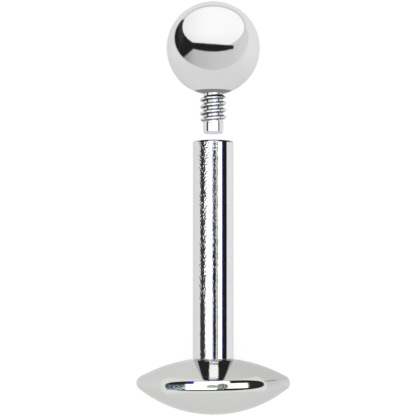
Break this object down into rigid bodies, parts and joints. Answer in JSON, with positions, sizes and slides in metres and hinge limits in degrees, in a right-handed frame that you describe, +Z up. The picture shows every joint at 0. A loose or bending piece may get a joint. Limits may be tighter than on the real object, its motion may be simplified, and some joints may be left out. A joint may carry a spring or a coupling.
{
  "type": "labret stud",
  "caption": "Polished steel labret stud shown unscrewed: a ball with a threaded stem, and a hollow post on a lens-shaped disc, lying on its side.",
  "frame": {"origin": "bottom centre of the bounding box, on the surface the stud lies on", "axes": "+Y along the stud towards the ball, whose end dips about 5 degrees; +Z up, the side that faces the camera"},
  "size_m": [0.006, 0.0162, 0.006],
  "materials": {
    "polished_steel": "mirror polished surgical steel",
    "drawn_steel": "polished, with fine lines along the post",
    "turned_steel": "thread as cut"
  },
  "bodies": {
    "stud": {"post": "drawn_steel", "disc": "polished_steel"},
    "ball_end": {"ball": "polished_steel", "threaded_stem": "turned_steel"}
  },
  "joints": [
    {"name": "ball_slide", "type": "slide", "parent": "stud", "child": "ball_end", "axis": [0, 0.9961, -0.0878], "range_m": [-0.00186, 0.0065]}
  ]
}
